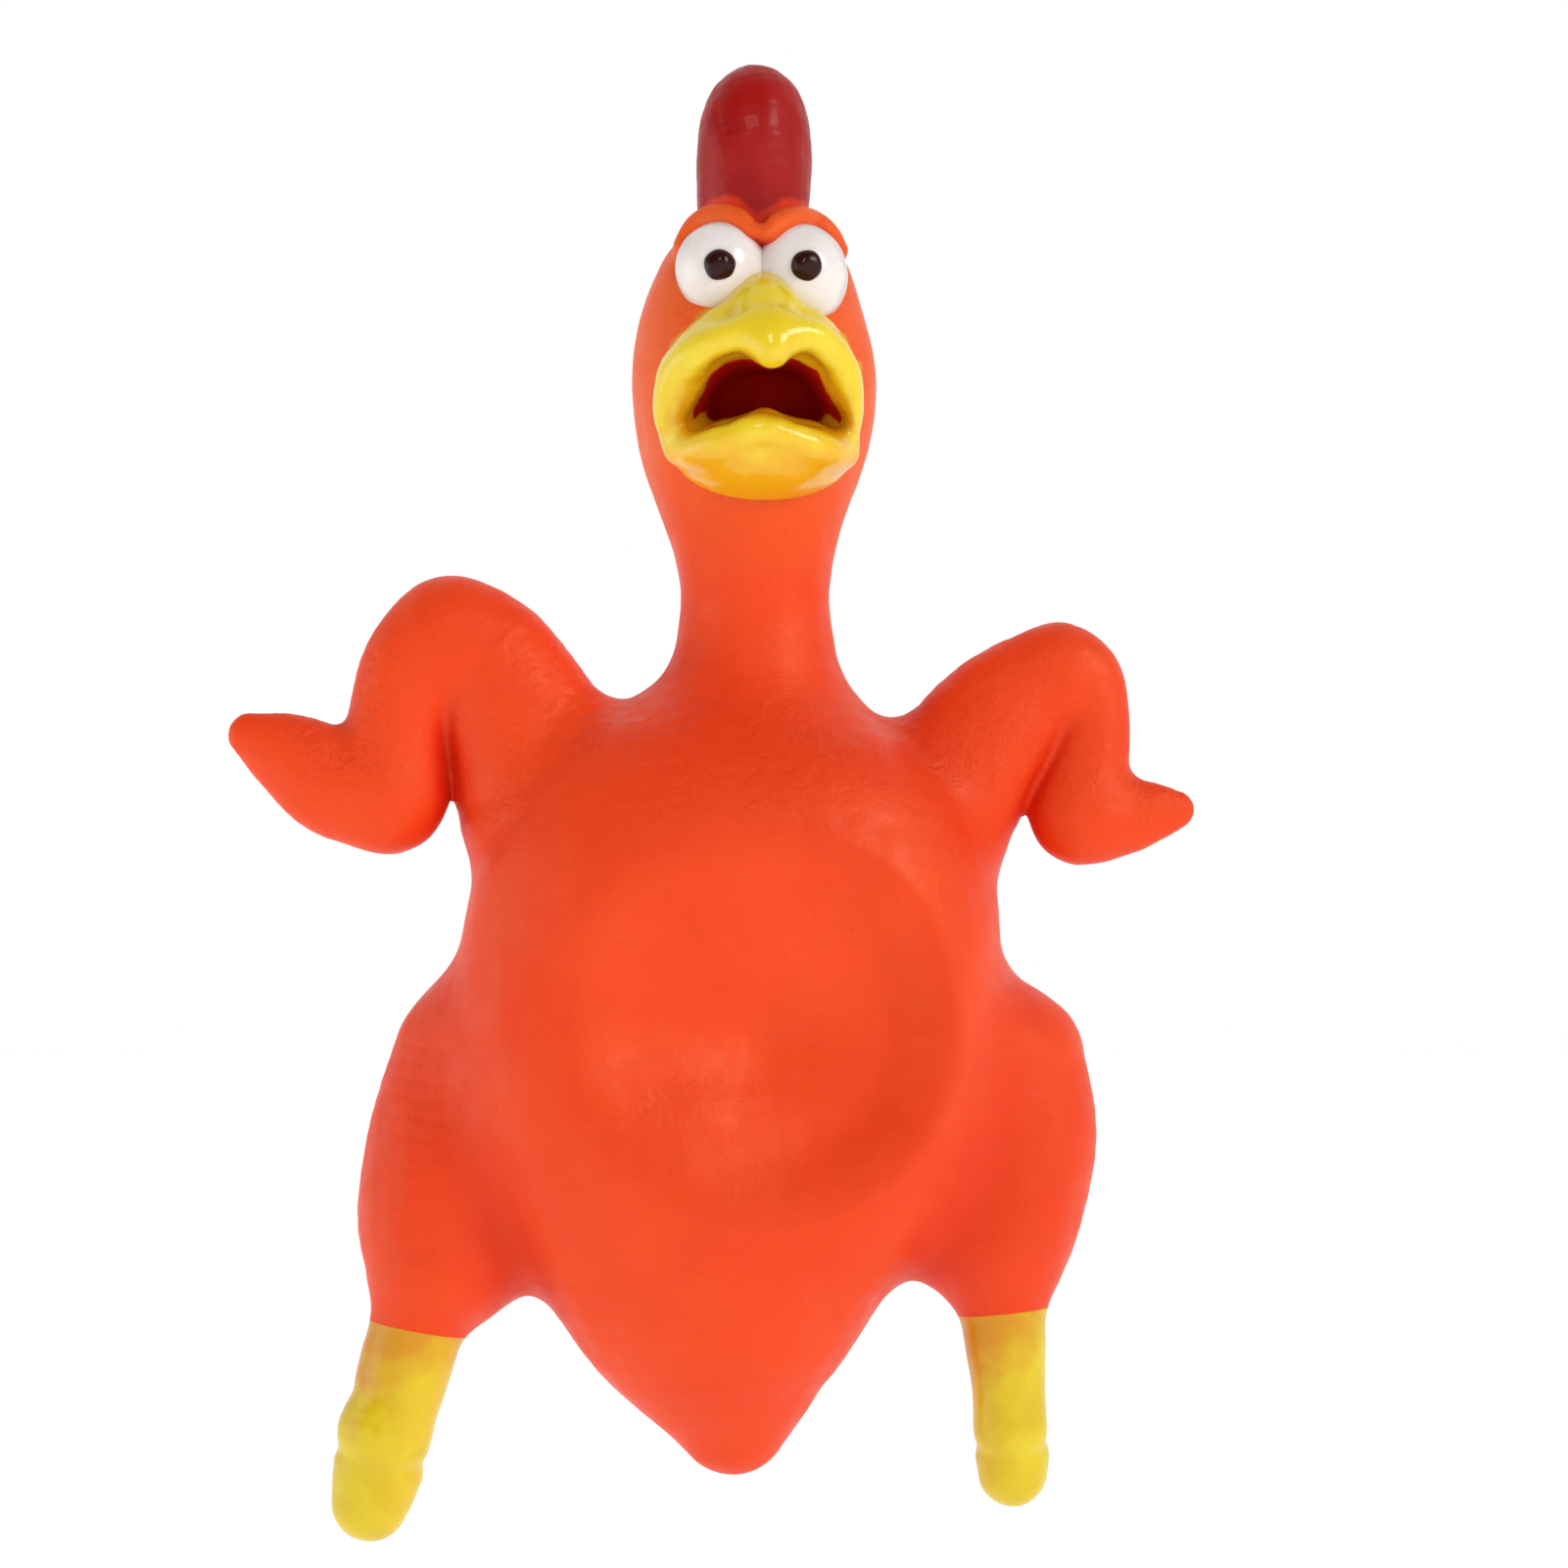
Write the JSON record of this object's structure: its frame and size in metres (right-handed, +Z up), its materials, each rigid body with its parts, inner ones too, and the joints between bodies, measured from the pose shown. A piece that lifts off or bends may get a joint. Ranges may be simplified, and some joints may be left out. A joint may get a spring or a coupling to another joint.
{
  "type": "rubber chicken",
  "caption": "Squeezable hollow latex chicken with bent wings, dangling painted legs, a tall comb, an open beak and a reed whistle in its throat.",
  "frame": {"origin": "middle of the torso, where a hand closes round the chicken", "axes": "+Z up through the comb, -Y is the way the chicken faces, +X is the chicken's own left side"},
  "size_m": [0.1296, 0.0519, 0.1999],
  "materials": {
    "skin_latex": "satin moulded latex, orange red",
    "comb_paint": "glossy red paint on latex",
    "beak_paint": "glossy yellow paint on latex",
    "mouth_paint": "dark maroon paint on latex",
    "eye_paint": "glossy white paint on latex",
    "pupil_paint": "glossy dark brown paint on latex",
    "leg_paint": "glossy amber yellow paint on latex",
    "whistle_plastic": "moulded natural white plastic",
    "reed_metal": "thin rolled strip, satin"
  },
  "bodies": {
    "torso": {"torso_shell": "skin_latex", "tail_shell": "skin_latex", "left_thigh": "skin_latex", "right_thigh": "skin_latex"},
    "belly": {"belly_panel": "skin_latex"},
    "neck": {"neck_shell": "skin_latex"},
    "head": {"head_shell": "skin_latex", "comb": "comb_paint", "upper_beak": "beak_paint", "lower_beak": "beak_paint", "mouth_lining": "mouth_paint", "left_eye": "eye_paint", "right_eye": "eye_paint", "left_pupil": "pupil_paint", "right_pupil": "pupil_paint", "whistle_tube": "whistle_plastic", "whistle_cap": "whistle_plastic", "reed_seat": "whistle_plastic", "reed_wedge": "whistle_plastic"},
    "reed_tongue": {"reed": "reed_metal"},
    "left_wing": {"left_upper_wing": "skin_latex", "left_fore_wing": "skin_latex", "left_wing_tip": "skin_latex"},
    "right_wing": {"right_upper_wing": "skin_latex", "right_fore_wing": "skin_latex", "right_wing_tip": "skin_latex"},
    "left_lower_leg": {"left_shank": "skin_latex", "left_leg": "leg_paint", "left_foot": "leg_paint"},
    "right_lower_leg": {"right_shank": "skin_latex", "right_leg": "leg_paint", "right_foot": "leg_paint"}
  },
  "joints": [
    {"name": "belly_press", "type": "slide", "parent": "torso", "child": "belly", "axis": [0, 1, 0], "range_m": [-0.01, 0.004], "stiffness_N_per_m": 200, "springref_m": -0.008},
    {"name": "neck_lean", "type": "hinge", "parent": "torso", "child": "neck", "pos_m": [0.002, 0, 0.0425], "axis": [0, 1, 0], "range_deg": [-20, 20], "stiffness_Nm_per_rad": 0.15},
    {"name": "head_nod", "type": "hinge", "parent": "neck", "child": "head", "pos_m": [0.002, 0, 0.054], "axis": [1, 0, 0], "range_deg": [-25, 30], "stiffness_Nm_per_rad": 0.15},
    {"name": "left_wing_flap", "type": "hinge", "parent": "torso", "child": "left_wing", "pos_m": [0.028, 0, 0.034], "axis": [0, -1, 0], "range_deg": [-20, 30], "stiffness_Nm_per_rad": 0.05},
    {"name": "right_wing_flap", "type": "hinge", "parent": "torso", "child": "right_wing", "pos_m": [-0.028, 0, 0.0345], "axis": [0, 1, 0], "range_deg": [-20, 30], "stiffness_Nm_per_rad": 0.05},
    {"name": "left_leg_swing", "type": "hinge", "parent": "torso", "child": "left_lower_leg", "pos_m": [0.0356, 0, -0.0325], "axis": [-1, 0, 0], "range_deg": [-35, 35], "stiffness_Nm_per_rad": 0.03},
    {"name": "right_leg_swing", "type": "hinge", "parent": "torso", "child": "right_lower_leg", "pos_m": [-0.0416, 0, -0.0325], "axis": [-1, 0, 0], "range_deg": [-35, 35], "stiffness_Nm_per_rad": 0.03},
    {"name": "reed_flex", "type": "hinge", "parent": "head", "child": "reed_tongue", "pos_m": [0.002, -0.00035, 0.0667], "axis": [1, 0, 0], "range_deg": [-4, 6], "stiffness_Nm_per_rad": 0.0005}
  ]
}
